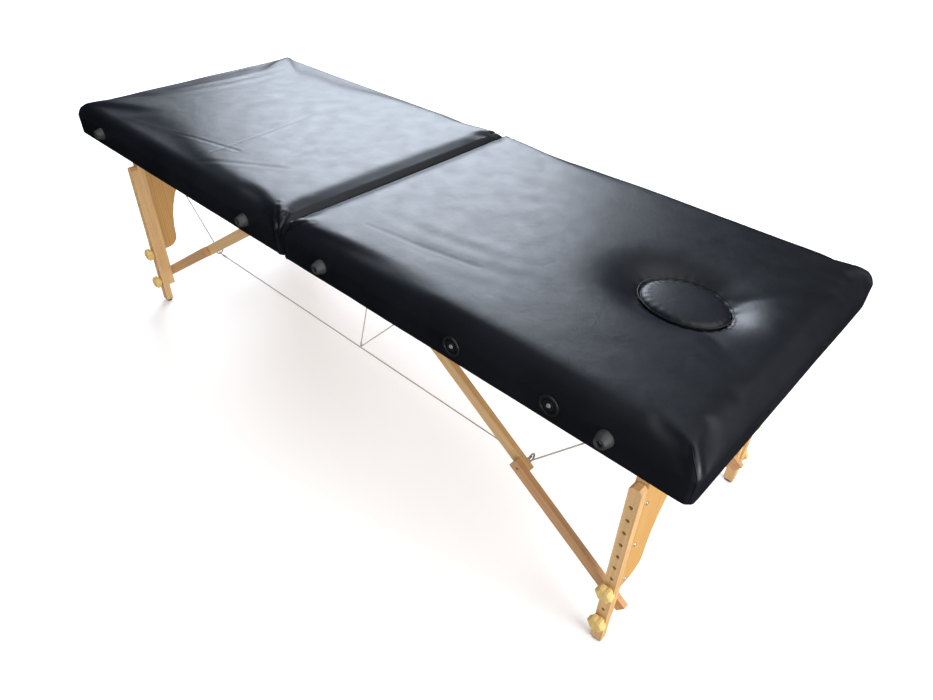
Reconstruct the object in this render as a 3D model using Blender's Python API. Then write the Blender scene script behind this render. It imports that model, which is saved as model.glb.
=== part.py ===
"""Portable folding massage table.

Two padded halves fold like a suitcase about a hinge line under the middle. Each half has a beech
frame, a plywood deck, foam, a leather cover, and a pair of folding legs: inner legs that turn on a
steel rod, outer legs that slide on them for height, a plywood panel that ties the pair together,
and two folding struts. A steel cable along each side joins the four leg pairs' elbows.

Metres, +Z up. X runs along the table with the head end at +X, Y runs across it, the floor is z = 0.
"""
import math

import bmesh
import bpy
from mathutils import Vector

# Driving sizes of the table
LENGTH = 1.860
WIDTH = 0.700
BOTTOM_Z = 0.5395
TOP_Z = 0.627
GAP = 0.0003

# Cover and pad
HALF_GAP = 0.0006
SKIN = 0.0020
CORNER_R = 0.020
CORNER_R_TOP = 0.006
EDGE_R = 0.034
EDGE_STEPS = 5
CORNER_STEPS = 4

# Frame, deck and foam
RAIL_T = 0.020
RAIL_TOP_Z = 0.5805
DECK_T = 0.004
FOLD_SKIRT_Z = 0.5460

# Fold hinges
FOLD_Z = 0.5390
HINGE_Y = 0.200
HINGE_LENGTH = 0.076
KNUCKLE_R = 0.0040
KNUCKLE_BORE_R = 0.0022
PIN_R = 0.0020
LEAF_Z = 0.5415
LEAF_T = 0.0020
LEAF_SETBACK = 0.0045
NOTCH_TOP_Z = 0.5440

# Legs
PIVOT_X = 0.8255
PIVOT_Z = 0.5615
ROD_R = 0.0050
BORE_CLEARANCE = 0.0002
LEG_IN_X = 0.816
LEG_OUT_X = 0.840
PANEL_T = 0.0047
OUTER_LEG_Y = 0.2925
OUTER_LEG_T = 0.0190
INNER_LEG_T = 0.0180
OUTER_LEG_TOP_Z = 0.447
OUTER_LEG_BOTTOM_Z = 0.006
INNER_LEG_BOTTOM_Z = 0.058
LEG_CHAMFER = 0.006
BOLT_X = 0.828

# Height holes and knobs
HOLE_PITCH = 0.0328
HOLE_COUNT = 11
TOP_HOLE_Z = 0.402
UPPER_KNOB_HOLE = 7
LOWER_KNOB_HOLE = 10
HOLE_R = 0.0042
SHANK_R = 0.0038
KNOB_R = 0.0183
KNOB_LOBES = 6
KNOB_LOBE_DEPTH = 0.0032
KNOB_HEIGHT = 0.020

# Rubber feet
FOOT_WALL = 0.0020
FOOT_HEIGHT = 0.030
FOOT_CORNER_R = 0.0005

# Leg panel: an arch between the inner legs
PANEL_TOP_Z = 0.545
ARCH_SPRING_Z = 0.200
ARCH_HALF_WIDTH = 0.205
ARCH_RISE = 0.255
PANEL_TIP_Z = 0.169
PANEL_TIP_R = 0.018

# Folding struts: upper strut from the frame to the elbow, lower strut from the elbow to the leg
STRUT_W = 0.026
STRUT_T = 0.013
STRUT_PIVOT_X = 0.121
STRUT_PIVOT_Z = 0.5665
STRUT_FOOT_X = 0.8205
STRUT_FOOT_Z = 0.100
RIVET_R = 0.0030
UPPER_PAST_ELBOW = 0.018
LOWER_PAST_ELBOW = 0.014
LOWER_PAST_LEG = 0.032
BATTEN_HALF_X = 0.015

# Face hole, plug and head sockets
FACE_X = 0.712
FACE_HOLE = (0.0770, 0.0610)
FACE_PLUG = (0.0745, 0.0585)
DECK_HOLE = (0.0660, 0.0500)
PLUG_TOP_Z = 0.634
SOCKET_Y = 0.1135
SOCKET_Z = 0.5605
SOCKET_BORE_R = 0.0065
SOCKET_BODY_R = 0.0085
SOCKET_FLANGE_R = 0.0130
SOCKET_FLANGE_T = 0.0016

# Cables
CABLE_R = 0.0016
CABLE_Y = 0.205
CABLE_END_Y = 0.222
CABLE_SAG = 0.020
CABLE_BEND = 0.012

COLOURS = {
    "leather": ((0.028, 0.033, 0.050), 0.38, 0.0),
    "foam": ((0.80, 0.76, 0.58), 0.90, 0.0),
    "beech": ((0.72, 0.52, 0.32), 0.50, 0.0),
    "plywood": ((0.62, 0.36, 0.15), 0.50, 0.0),
    "steel": ((0.62, 0.62, 0.64), 0.30, 1.0),
    "black_rubber": ((0.02, 0.02, 0.02), 0.70, 0.0),
    "black_plastic": ((0.03, 0.03, 0.03), 0.45, 0.0),
    "knob_wood": ((0.86, 0.72, 0.42), 0.45, 0.0),
    "cable": ((0.62, 0.58, 0.50), 0.45, 0.6),
}

HALVES = (("left", -1), ("right", 1))
SIDES = (("near", -1), ("far", 1))
FOLD_AXIS = Vector((0.0, 0.0, FOLD_Z))


def material(slot):
    """Return the Principled material of a slot, made on first use."""
    found = bpy.data.materials.get(slot)
    if found:
        return found
    colour, roughness, metallic = COLOURS[slot]
    made = bpy.data.materials.new(slot)
    made.use_nodes = True
    shader = made.node_tree.nodes["Principled BSDF"]
    shader.inputs["Base Color"].default_value = (*colour, 1.0)
    shader.inputs["Roughness"].default_value = roughness
    shader.inputs["Metallic"].default_value = metallic
    return made


def add_object(name, slot, bm, origin, smooth=False):
    """Turn a bmesh in world coordinates into an object whose origin is the given point."""
    bmesh.ops.recalc_face_normals(bm, faces=bm.faces[:])
    bmesh.ops.translate(bm, vec=-Vector(origin), verts=bm.verts[:])
    mesh = bpy.data.meshes.new(name)
    bm.to_mesh(mesh)
    bm.free()
    mesh.materials.append(material(slot))
    if smooth:
        mesh.shade_smooth()
        mesh.set_sharp_from_angle(angle=math.radians(35))
    made = bpy.data.objects.new(name, mesh)
    made.location = origin
    bpy.context.scene.collection.objects.link(made)
    return made


def on_axis(axis, u, v, w):
    """Place an outline point (u, v) at height w along the extrusion axis."""
    if axis == "X":
        return Vector((w, u, v))
    if axis == "Y":
        return Vector((u, w, v))
    return Vector((u, v, w))


def ring_edges(bm, points):
    """Add a closed loop of edges through the points."""
    verts = [bm.verts.new(point) for point in points]
    return [bm.edges.new((verts[i - 1], verts[i])) for i in range(len(verts))]


def plate(name, slot, outline, axis, start, end, origin, holes=(), smooth=False):
    """Extrude an outline with holes along an axis, from start to end."""
    bm = bmesh.new()
    edges = []
    for loop in (outline, *holes):
        edges += ring_edges(bm, [on_axis(axis, u, v, start) for u, v in loop])
    bmesh.ops.triangle_fill(bm, use_beauty=True, edges=edges)
    grown = bmesh.ops.extrude_face_region(bm, geom=bm.faces[:])
    moved = [item for item in grown["geom"] if isinstance(item, bmesh.types.BMVert)]
    bmesh.ops.translate(bm, vec=on_axis(axis, 0.0, 0.0, end - start), verts=moved)
    return add_object(name, slot, bm, origin, smooth)


def box_outline(u0, u1, v0, v1):
    return [(u0, v0), (u1, v0), (u1, v1), (u0, v1)]


def circle(u, v, radius, steps=16):
    turns = [math.tau * i / steps for i in range(steps)]
    return [(u + radius * math.cos(t), v + radius * math.sin(t)) for t in turns]


def oval(u, v, half, steps=32):
    turns = [math.tau * i / steps for i in range(steps)]
    return [(u + half[0] * math.cos(t), v + half[1] * math.sin(t)) for t in turns]


def rounded_box(u0, u1, v0, v1, radius, steps=CORNER_STEPS):
    """Rectangle outline with round corners."""
    centres = ((u1 - radius, v1 - radius, 0), (u0 + radius, v1 - radius, 1),
               (u0 + radius, v0 + radius, 2), (u1 - radius, v0 + radius, 3))
    points = []
    for cu, cv, quarter in centres:
        for i in range(steps + 1):
            turn = math.pi / 2 * (quarter + i / steps)
            points.append((cu + radius * math.cos(turn), cv + radius * math.sin(turn)))
    return points


def bar(start, end, half_width, past_start=None, past_end=0.0, steps=8):
    """Outline of a flat bar between two points, square past its ends or round about its start."""
    along = (Vector(end) - Vector(start)).normalized()
    across = Vector((-along.y, along.x)) * half_width
    tip = Vector(end) + along * past_end
    points = [tuple(tip - across), tuple(tip + across)]
    if past_start is None:
        run = math.atan2(across.y, across.x)
        for i in range(steps + 1):
            turn = run + math.pi * i / steps
            points.append((start[0] + half_width * math.cos(turn), start[1] + half_width * math.sin(turn)))
    else:
        tail = Vector(start) - along * past_start
        points += [tuple(tail + across), tuple(tail - across)]
    return points


def skin_rings(bm, rings):
    """Join a list of equal rings of verts with quads."""
    for low, high in zip(rings, rings[1:]):
        for i in range(len(low)):
            bm.faces.new((low[i - 1], low[i], high[i], high[i - 1]))


def cap(bm, ring, hole=()):
    """Fill a ring of verts, leaving out the hole's ring."""
    edges = []
    for loop in (ring, hole):
        for i in range(len(loop)):
            edges.append(bm.edges.get((loop[i - 1], loop[i])) or bm.edges.new((loop[i - 1], loop[i])))
    bmesh.ops.triangle_fill(bm, use_beauty=True, edges=edges)


def verts_of(bm, points):
    return [bm.verts.new(point) for point in points]


def boolean(target, tool, operation):
    """Cut or join a tool into the target for good, and remove the tool."""
    modifier = target.modifiers.new("shape", "BOOLEAN")
    modifier.operation = operation
    modifier.solver = "EXACT"
    modifier.object = tool
    graph = bpy.context.evaluated_depsgraph_get()
    mesh = bpy.data.meshes.new_from_object(target.evaluated_get(graph))
    target.modifiers.clear()
    target.data = mesh
    bpy.data.objects.remove(tool, do_unlink=True)
    return target


def corner_radius(inset):
    """Plan radius of the pad's corners, smaller where the outline is drawn in."""
    return max(CORNER_R - inset * (CORNER_R - CORNER_R_TOP) / EDGE_R, CORNER_R_TOP)


def pad_ring(half, inset, z):
    """Rounded rectangle of one half's pad, drawn in by the inset."""
    inner = HALF_GAP + inset
    outer = LENGTH / 2 - inset
    span = sorted((half * inner, half * outer))
    side = WIDTH / 2 - inset
    return [Vector((x, y, z)) for x, y in rounded_box(*span, -side, side, corner_radius(inset))]


def pad_rings(half, skin, bottom_z):
    """Rings from the open bottom up over the rounded edge, inside a skin of the given thickness."""
    rings = [pad_ring(half, skin, bottom_z)]
    for i in range(EDGE_STEPS + 1):
        turn = math.pi / 2 * i / EDGE_STEPS
        reach = EDGE_R - skin
        inset = EDGE_R - reach * math.cos(turn)
        z = TOP_Z - EDGE_R + reach * math.sin(turn)
        rings.append(pad_ring(half, inset, z))
    return rings


def oval_ring(half_sizes, z):
    return [Vector((x, y, z)) for x, y in oval(FACE_X, 0.0, half_sizes)]


def add_cover(name, half):
    """Thin leather tray, open below, with the face hole and the sockets' holes at the head end."""
    bm = bmesh.new()
    outer = [verts_of(bm, ring) for ring in pad_rings(half, 0.0, BOTTOM_Z)]
    inner = [verts_of(bm, ring) for ring in pad_rings(half, SKIN, BOTTOM_Z)]
    skin_rings(bm, outer)
    skin_rings(bm, inner)
    skin_rings(bm, [inner[0], outer[0]])
    top_hole = ()
    low_hole = ()
    if half > 0:
        top_hole = verts_of(bm, oval_ring(FACE_HOLE, TOP_Z))
        low_hole = verts_of(bm, oval_ring(FACE_HOLE, TOP_Z - SKIN))
        skin_rings(bm, [low_hole, top_hole])
    cap(bm, outer[-1], top_hole)
    cap(bm, inner[-1], low_hole)
    cover = add_object(name, "leather", bm, FOLD_AXIS, smooth=True)
    reach = half * (HALF_GAP + SKIN + GAP)
    side = WIDTH / 2 - CORNER_R
    strip = box_outline(-0.01 * half, reach, -side, side)
    boolean(cover, plate("strip", "leather", strip, "Z", BOTTOM_Z - 0.01, FOLD_SKIRT_Z, FOLD_AXIS), "DIFFERENCE")
    if half > 0:
        for _, side_sign in SIDES:
            hole = circle(side_sign * SOCKET_Y, SOCKET_Z, SOCKET_FLANGE_R + GAP, 24)
            end = LENGTH / 2
            boolean(cover, plate("cut", "leather", hole, "X", end - 0.01, end + 0.01, FOLD_AXIS), "DIFFERENCE")
    return cover


def add_foam(name, half):
    bm = bmesh.new()
    bottom_z = RAIL_TOP_Z + DECK_T + 2 * GAP
    rings = [verts_of(bm, ring) for ring in pad_rings(half, SKIN + GAP, bottom_z)]
    skin_rings(bm, rings)
    top_hole = ()
    low_hole = ()
    if half > 0:
        top_hole = verts_of(bm, oval_ring(FACE_HOLE, TOP_Z - SKIN - GAP))
        low_hole = verts_of(bm, oval_ring(FACE_HOLE, bottom_z))
        skin_rings(bm, [low_hole, top_hole])
    cap(bm, rings[-1], top_hole)
    cap(bm, rings[0], low_hole)
    return add_object(name, "foam", bm, FOLD_AXIS, smooth=True)


def frame_span():
    """Distance of the frame's fold face, its end face and its side face from the middle."""
    clear = SKIN + GAP
    return HALF_GAP + clear, LENGTH / 2 - clear, WIDTH / 2 - clear


def add_deck(name, half):
    fold, end, side = frame_span()
    outline = rounded_box(*sorted((half * fold, half * end)), -side, side, corner_radius(SKIN))
    holes = [oval(FACE_X, 0.0, DECK_HOLE)] if half > 0 else []
    low = RAIL_TOP_Z + GAP
    return plate(name, "plywood", outline, "Z", low, low + DECK_T, FOLD_AXIS, holes)


def add_side_rail(name, half, side_sign):
    """Long rail with round outer corners and a hole for the leg rod's end."""
    fold, end, side = frame_span()
    span = sorted((half * fold, half * end))
    full = rounded_box(*span, -side, side, corner_radius(SKIN))
    inner = side - RAIL_T
    outline = [(x, y) for x, y in full if y * side_sign > 0]
    outline += [(x, side_sign * inner) for x in span[::side_sign]]
    rail = plate(name, "beech", outline, "Z", BOTTOM_Z, RAIL_TOP_Z, FOLD_AXIS)
    hole = circle(half * PIVOT_X, PIVOT_Z, ROD_R + BORE_CLEARANCE)
    reach = sorted((side_sign * (inner - 0.01), side_sign * (side - 0.006)))
    return boolean(rail, plate("cut", "beech", hole, "Y", *reach, FOLD_AXIS), "DIFFERENCE")


def add_end_rail(name, half):
    """Rail across the outer end, bored for the head sockets on the head end."""
    _, end, side = frame_span()
    inner = side - RAIL_T - GAP
    holes = []
    if half > 0:
        holes = [circle(sign * SOCKET_Y, SOCKET_Z, SOCKET_BODY_R + GAP, 24) for _, sign in SIDES]
    outline = box_outline(-inner, inner, BOTTOM_Z, RAIL_TOP_Z)
    reach = sorted((half * (end - RAIL_T), half * end))
    return plate(name, "beech", outline, "X", *reach, FOLD_AXIS, holes)


def add_fold_rail(name, half):
    """Rail across the fold, notched below for the two hinges."""
    fold, _, side = frame_span()
    inner = side - RAIL_T - GAP
    notch = HINGE_LENGTH / 2 + GAP
    outline = [(inner, RAIL_TOP_Z), (-inner, RAIL_TOP_Z), (-inner, BOTTOM_Z)]
    for _, sign in SIDES:
        outline += [(sign * HINGE_Y - notch, BOTTOM_Z), (sign * HINGE_Y - notch, NOTCH_TOP_Z),
                    (sign * HINGE_Y + notch, NOTCH_TOP_Z), (sign * HINGE_Y + notch, BOTTOM_Z)]
    outline.append((inner, BOTTOM_Z))
    reach = sorted((half * fold, half * (fold + RAIL_T)))
    return plate(name, "beech", outline, "X", *reach, FOLD_AXIS)


def knuckle_spans(half):
    """Y spans of a leaf's knuckles within its hinge: the ends on the left, the middle on the right."""
    third = HINGE_LENGTH / 3
    low = -HINGE_LENGTH / 2
    if half > 0:
        return [(low + third + GAP, low + 2 * third - GAP)]
    return [(low, low + third), (low + 2 * third, low + HINGE_LENGTH)]


def add_hinge_leaf(name, half, side_sign):
    """Leaf in the rail's notch, with tabs that run into its knuckles."""
    fold, _, _ = frame_span()
    middle = side_sign * HINGE_Y
    ends = HINGE_LENGTH / 2
    tab = KNUCKLE_R - 0.001
    outline = [(half * (fold + RAIL_T), middle + ends), (half * (fold + RAIL_T), middle - ends),
               (half * LEAF_SETBACK, middle - ends)]
    for low, high in knuckle_spans(half):
        outline += [(half * LEAF_SETBACK, middle + low), (half * tab, middle + low),
                    (half * tab, middle + high), (half * LEAF_SETBACK, middle + high)]
    outline.append((half * LEAF_SETBACK, middle + ends))
    points = [p for i, p in enumerate(outline) if p != outline[i - 1]]
    leaf = plate(name, "steel", points, "Z", LEAF_Z, LEAF_Z + LEAF_T, FOLD_AXIS)
    for low, high in knuckle_spans(half):
        barrel = plate("barrel", "steel", circle(0.0, FOLD_Z, KNUCKLE_R, 20), "Y", middle + low,
                       middle + high, FOLD_AXIS, [circle(0.0, FOLD_Z, KNUCKLE_BORE_R, 20)])
        boolean(leaf, barrel, "UNION")
    return leaf


def add_rod(name, slot, x, z, radius, low, high, origin):
    return plate(name, slot, circle(x, z, radius), "Y", low, high, origin, smooth=True)


def hole_z(index):
    return TOP_HOLE_Z - index * HOLE_PITCH


def add_outer_leg(name, half, side_sign):
    """Sliding leg with chamfered top and the row of height holes."""
    low, high = sorted((half * LEG_IN_X, half * LEG_OUT_X))
    top = OUTER_LEG_TOP_Z
    outline = [(low, OUTER_LEG_BOTTOM_Z), (high, OUTER_LEG_BOTTOM_Z), (high, top - LEG_CHAMFER),
               (high - LEG_CHAMFER, top), (low + LEG_CHAMFER, top), (low, top - LEG_CHAMFER)]
    holes = [circle(half * BOLT_X, hole_z(i), HOLE_R, 12) for i in range(HOLE_COUNT)]
    reach = sorted((side_sign * OUTER_LEG_Y, side_sign * (OUTER_LEG_Y - OUTER_LEG_T)))
    origin = (half * BOLT_X, side_sign * (OUTER_LEG_Y - OUTER_LEG_T / 2), 0.0)
    return plate(name, "beech", outline, "Y", *reach, origin, holes)


def inner_leg_outer_y():
    return OUTER_LEG_Y - OUTER_LEG_T - GAP


def add_inner_leg(name, half, side_sign):
    """Leg that turns on the rod, round at the top, with two bolt holes for the knobs."""
    out_x = LEG_OUT_X - PANEL_T - GAP
    radius = (out_x - LEG_IN_X) / 2
    middle = (LEG_IN_X + out_x) / 2
    outline = [(half * LEG_IN_X, INNER_LEG_BOTTOM_Z), (half * out_x, INNER_LEG_BOTTOM_Z)]
    for i in range(9):
        turn = math.pi * i / 8
        outline.append((half * (middle + radius * math.cos(turn)), PIVOT_Z + radius * math.sin(turn)))
    holes = [circle(half * PIVOT_X, PIVOT_Z, ROD_R + BORE_CLEARANCE)]
    holes += [circle(half * BOLT_X, hole_z(i), HOLE_R, 12) for i in (UPPER_KNOB_HOLE, LOWER_KNOB_HOLE)]
    outer = inner_leg_outer_y()
    reach = sorted((side_sign * outer, side_sign * (outer - INNER_LEG_T)))
    origin = (half * PIVOT_X, side_sign * (outer - INNER_LEG_T / 2), PIVOT_Z)
    return plate(name, "beech", outline, "Y", *reach, origin, holes)


def add_foot(name, half, side_sign):
    """Rubber boot, open above, that the outer leg's end stands in."""
    centre_x = half * (LEG_IN_X + LEG_OUT_X) / 2
    centre_y = side_sign * (OUTER_LEG_Y - OUTER_LEG_T / 2)
    half_x = (LEG_OUT_X - LEG_IN_X) / 2 + GAP
    half_y = OUTER_LEG_T / 2 + GAP
    bm = bmesh.new()

    def ring(grow, z):
        outline = rounded_box(centre_x - half_x - grow, centre_x + half_x + grow,
                              centre_y - half_y - grow, centre_y + half_y + grow, FOOT_CORNER_R + grow, 2)
        return verts_of(bm, [Vector((x, y, z)) for x, y in outline])

    outer = [ring(FOOT_WALL, FOOT_HEIGHT), ring(FOOT_WALL + 0.001, 0.004), ring(FOOT_WALL, 0.0)]
    inner = [ring(0.0, FOOT_HEIGHT), ring(0.0, OUTER_LEG_BOTTOM_Z - GAP)]
    skin_rings(bm, outer)
    skin_rings(bm, inner)
    skin_rings(bm, [inner[0], outer[0]])
    cap(bm, outer[-1])
    cap(bm, inner[-1])
    return add_object(name, "black_rubber", bm, (centre_x, centre_y, 0.0))


def panel_outline():
    """Half of the arched panel's lower edge, from the middle of the arch out to the leg."""
    points = []
    for i in range(13):
        turn = math.pi / 2 * (1 - i / 12)
        points.append((ARCH_HALF_WIDTH * math.cos(turn), ARCH_SPRING_Z + ARCH_RISE * math.sin(turn)))
    outer = inner_leg_outer_y()
    tip_y = (ARCH_HALF_WIDTH + outer) / 2
    reach = (outer - ARCH_HALF_WIDTH) / 2
    for i in range(1, 7):
        turn = math.pi / 2 * i / 6
        points.append((tip_y - reach * math.cos(turn), ARCH_SPRING_Z - (ARCH_SPRING_Z - PANEL_TIP_Z) * math.sin(turn)))
    points.append((outer, PANEL_TIP_Z))
    points.append((outer, PANEL_TOP_Z))
    return points


def add_panel(name, half):
    side = panel_outline()
    outline = side + [(-y, z) for y, z in reversed(side[1:])]
    reach = sorted((half * LEG_OUT_X, half * (LEG_OUT_X - PANEL_T)))
    return plate(name, "plywood", outline, "X", *reach, (half * PIVOT_X, 0.0, PIVOT_Z))


def add_knob(name, half, side_sign, index):
    """Lobed clamping knob with its bolt, turning about Y."""
    x = half * BOLT_X
    z = hole_z(index)
    face = OUTER_LEG_Y + GAP
    back = inner_leg_outer_y() - INNER_LEG_T
    profile = [(back, SHANK_R, 0), (face, SHANK_R, 0), (face, 0.0095, 0), (face + 0.005, 0.0095, 0),
               (face + 0.006, KNOB_R, 1), (face + KNOB_HEIGHT - 0.003, KNOB_R, 1),
               (face + KNOB_HEIGHT, KNOB_R - 0.004, 0.6)]
    steps = 4 * KNOB_LOBES
    bm = bmesh.new()
    rings = []
    for y, radius, lobed in profile:
        ring = []
        for i in range(steps):
            turn = math.tau * i / steps
            reach = radius - lobed * KNOB_LOBE_DEPTH * (1 - math.cos(KNOB_LOBES * turn)) / 2
            ring.append(Vector((x + reach * math.cos(turn), side_sign * y, z + reach * math.sin(turn))))
        rings.append(verts_of(bm, ring))
    skin_rings(bm, rings)
    cap(bm, rings[0])
    cap(bm, rings[-1])
    return add_object(name, "knob_wood", bm, (x, side_sign * face, z), smooth=True)


def strut_points():
    """Elbow's place at rest. The struts are straight in use and lie flat over each other when stowed."""
    top = Vector((STRUT_PIVOT_X, STRUT_PIVOT_Z))
    foot = Vector((STRUT_FOOT_X, STRUT_FOOT_Z))
    reach = (foot - top).length
    stowed_foot_x = PIVOT_X - (PIVOT_Z - STRUT_FOOT_Z)
    difference = stowed_foot_x - STRUT_PIVOT_X
    upper = (reach + difference) / 2
    return top, top + (foot - top) * upper / reach, foot


def strut_layer(layer):
    """Y span of a strut: layer 0 lies against the inner leg, layer 1 inside that."""
    outer = inner_leg_outer_y() - INNER_LEG_T - GAP - layer * (STRUT_T + GAP)
    return outer, outer - STRUT_T


def add_strut(name, half, side_sign, outline, layer, origin):
    """Flat strut with the elbow's rivet hole, extruded in its layer."""
    elbow = strut_points()[1]
    hole = circle(half * elbow.x, elbow.y, RIVET_R, 12)
    reach = sorted(side_sign * y for y in strut_layer(layer))
    place = (half * origin.x, reach[0], origin.y)
    shape = [(half * x, z) for x, z in outline]
    return plate(name, "beech", shape, "Y", *reach, place, [hole])


def add_batten(name, half):
    """Cross batten under the deck whose ends carry the upper struts."""
    reach = strut_layer(1)[1] - GAP
    outline = box_outline(*sorted((half * (STRUT_PIVOT_X - BATTEN_HALF_X), half * (STRUT_PIVOT_X + BATTEN_HALF_X))),
                          STRUT_PIVOT_Z - STRUT_W / 2, RAIL_TOP_Z - GAP)
    return plate(name, "beech", outline, "Y", -reach, reach, FOLD_AXIS)


def add_plug(name):
    """Oval padded plug that stands on the deck and fills the face hole."""
    low = RAIL_TOP_Z + DECK_T + 2 * GAP
    levels = [(1.0, low), (1.0, TOP_Z), (0.97, PLUG_TOP_Z - 0.003), (0.85, PLUG_TOP_Z)]
    bm = bmesh.new()
    rings = [verts_of(bm, oval_ring((FACE_PLUG[0] * k, FACE_PLUG[1] * k), z)) for k, z in levels]
    skin_rings(bm, rings)
    cap(bm, rings[0])
    cap(bm, rings[-1])
    return add_object(name, "leather", bm, (FACE_X, 0.0, low), smooth=True)


def add_socket(name, side_sign):
    """Flanged tube in the head-end rail that takes a face rest's post."""
    _, end, _ = frame_span()
    face = LENGTH / 2
    flange = face - SOCKET_FLANGE_T
    back = end - RAIL_T - 0.004
    profile = [(back, SOCKET_BORE_R), (face, SOCKET_BORE_R), (face, SOCKET_FLANGE_R),
               (flange, SOCKET_FLANGE_R), (flange, SOCKET_BODY_R), (back, SOCKET_BODY_R)]
    bm = bmesh.new()
    rings = []
    for x, radius in profile:
        rings.append(verts_of(bm, [on_axis("X", u, v, x) for u, v in circle(side_sign * SOCKET_Y, SOCKET_Z, radius, 24)]))
    rings.append(rings[0])
    skin_rings(bm, rings)
    return add_object(name, "black_plastic", bm, FOLD_AXIS, smooth=True)


def cable_route(side_sign):
    """Corner points of one side's cable: leg rod, elbow, middle, elbow, leg rod."""
    elbow = strut_points()[1]
    end = Vector((PIVOT_X - 0.012, CABLE_END_Y * side_sign, PIVOT_Z - 0.016))
    bend = Vector((elbow.x, CABLE_Y * side_sign, elbow.y))
    middle = Vector((0.0, CABLE_Y * side_sign, elbow.y - CABLE_SAG))
    flip = Vector((-1.0, 1.0, 1.0))
    return [end * flip, bend * flip, middle, bend, end]


def add_cable(name, side_sign):
    """Steel cable with a short round bend at each corner of its route."""
    route = cable_route(side_sign)
    points = [route[0]]
    for before, corner, after in zip(route, route[1:], route[2:]):
        start = corner + (before - corner).normalized() * CABLE_BEND
        end = corner + (after - corner).normalized() * CABLE_BEND
        for i in range(5):
            t = i / 4
            points.append(start * (1 - t) ** 2 + corner * 2 * t * (1 - t) + end * t ** 2)
    points.append(route[-1])
    curve = bpy.data.curves.new(name, "CURVE")
    curve.dimensions = "3D"
    curve.bevel_depth = CABLE_R
    curve.bevel_resolution = 1
    curve.use_fill_caps = True
    spline = curve.splines.new("POLY")
    spline.points.add(len(points) - 1)
    for target, point in zip(spline.points, points):
        target.co = (*point, 1.0)
    curve.materials.append(material("cable"))
    made = bpy.data.objects.new(name, curve)
    bpy.context.scene.collection.objects.link(made)
    return made


def add_half(side, half):
    """Frame, deck, foam, cover, hinges and strut batten of one half."""
    add_side_rail(f"{side}_rail_near", half, -1)
    add_side_rail(f"{side}_rail_far", half, 1)
    add_end_rail(f"{side}_rail_end", half)
    add_fold_rail(f"{side}_rail_fold", half)
    add_deck(f"{side}_deck", half)
    add_foam(f"{side}_foam", half)
    add_cover(f"{side}_cover", half)
    add_batten(f"{side}_strut_batten", half)
    reach = frame_span()[2] - 0.007
    add_rod(f"{side}_leg_rod", "steel", half * PIVOT_X, PIVOT_Z, ROD_R, -reach, reach,
            (half * PIVOT_X, 0.0, PIVOT_Z))
    for place, side_sign in SIDES:
        add_hinge_leaf(f"{side}_hinge_leaf_{place}", half, side_sign)


def add_leg_pair(side, half):
    """Panel, legs, feet, knobs and struts of one end."""
    add_panel(f"{side}_leg_panel", half)
    top, elbow, foot = strut_points()
    upper = bar(top, elbow, STRUT_W / 2, None, UPPER_PAST_ELBOW)
    lower = bar(elbow, foot, STRUT_W / 2, LOWER_PAST_ELBOW, LOWER_PAST_LEG)
    for place, side_sign in SIDES:
        add_inner_leg(f"{side}_inner_leg_{place}", half, side_sign)
        add_outer_leg(f"{side}_outer_leg_{place}", half, side_sign)
        add_foot(f"{side}_foot_{place}", half, side_sign)
        add_knob(f"{side}_knob_{place}_upper", half, side_sign, UPPER_KNOB_HOLE)
        add_knob(f"{side}_knob_{place}_lower", half, side_sign, LOWER_KNOB_HOLE)
        add_strut(f"{side}_upper_strut_{place}", half, side_sign, upper, 1, top)
        add_strut(f"{side}_lower_strut_{place}", half, side_sign, lower, 0, foot)


def build():
    for old in list(bpy.data.objects):
        bpy.data.objects.remove(old, do_unlink=True)
    for side, half in HALVES:
        add_half(side, half)
        add_leg_pair(side, half)
    add_plug("face_plug")
    for place, side_sign in SIDES:
        add_socket(f"head_socket_{place}", side_sign)
        middle = side_sign * HINGE_Y
        ends = HINGE_LENGTH / 2
        add_rod(f"hinge_pin_{place}", "steel", 0.0, FOLD_Z, PIN_R, middle - ends, middle + ends,
                (0.0, middle, FOLD_Z))
        add_cable(f"cable_{place}", side_sign)


build()
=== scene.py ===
"""Looks for the portable folding massage table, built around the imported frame.

The two pads are leather shells swelled by a cloth simulation, then creased and darted in code.
The wooden frame, legs and hinges are the CAD nodes with procedural materials, and small hardware
that the CAD leaves out (bumpers, sockets, screws, eye bolts, cords) is added here.
"""
import math

import bmesh
import bpy
import numpy as np
from mathutils import Matrix, Vector, noise


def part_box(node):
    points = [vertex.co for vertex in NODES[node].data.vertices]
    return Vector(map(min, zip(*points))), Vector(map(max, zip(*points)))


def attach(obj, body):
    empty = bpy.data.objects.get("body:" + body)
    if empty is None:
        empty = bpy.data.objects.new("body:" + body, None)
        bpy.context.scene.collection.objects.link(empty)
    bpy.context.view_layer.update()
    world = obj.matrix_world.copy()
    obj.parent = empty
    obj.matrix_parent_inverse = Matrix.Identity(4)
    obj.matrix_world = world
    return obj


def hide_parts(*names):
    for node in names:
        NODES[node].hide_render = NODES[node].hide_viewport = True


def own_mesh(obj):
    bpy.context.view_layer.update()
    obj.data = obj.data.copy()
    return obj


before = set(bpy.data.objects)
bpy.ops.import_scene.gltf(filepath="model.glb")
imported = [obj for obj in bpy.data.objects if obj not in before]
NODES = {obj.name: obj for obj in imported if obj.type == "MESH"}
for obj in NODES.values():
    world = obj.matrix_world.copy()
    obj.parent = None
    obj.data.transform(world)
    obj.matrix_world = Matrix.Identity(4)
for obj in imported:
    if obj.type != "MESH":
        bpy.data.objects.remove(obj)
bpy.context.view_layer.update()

SIDES = (("near", -1), ("far", 1))
HALVES = (("left", -1), ("right", 1))

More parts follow.
